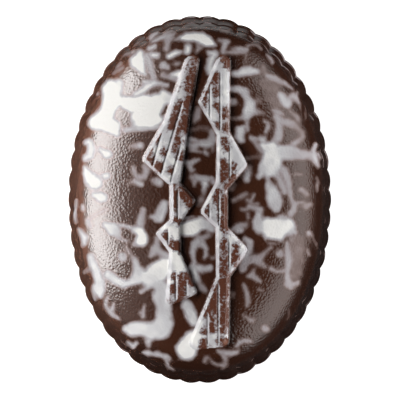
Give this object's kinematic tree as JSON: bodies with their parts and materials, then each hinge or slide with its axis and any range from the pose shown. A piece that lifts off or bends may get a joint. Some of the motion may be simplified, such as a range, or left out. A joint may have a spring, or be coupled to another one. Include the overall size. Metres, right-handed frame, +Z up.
{
  "type": "chocolate praline",
  "caption": "Moulded oval chocolate praline with a domed top, a fluted side wall, a flat foot and ribbed strands raised along the top.",
  "frame": {"origin": "centre of the flat foot", "axes": "+Z up, +Y along the length towards the pointed upper ends of the strands, +X across the width"},
  "size_m": [0.0286, 0.04, 0.0149],
  "materials": {
    "marbled_chocolate": "dark chocolate marbled with white chocolate, satin gloss with a fine leathery mould grain"
  },
  "bodies": {
    "root": {"praline": "marbled_chocolate"}
  },
  "joints": []
}
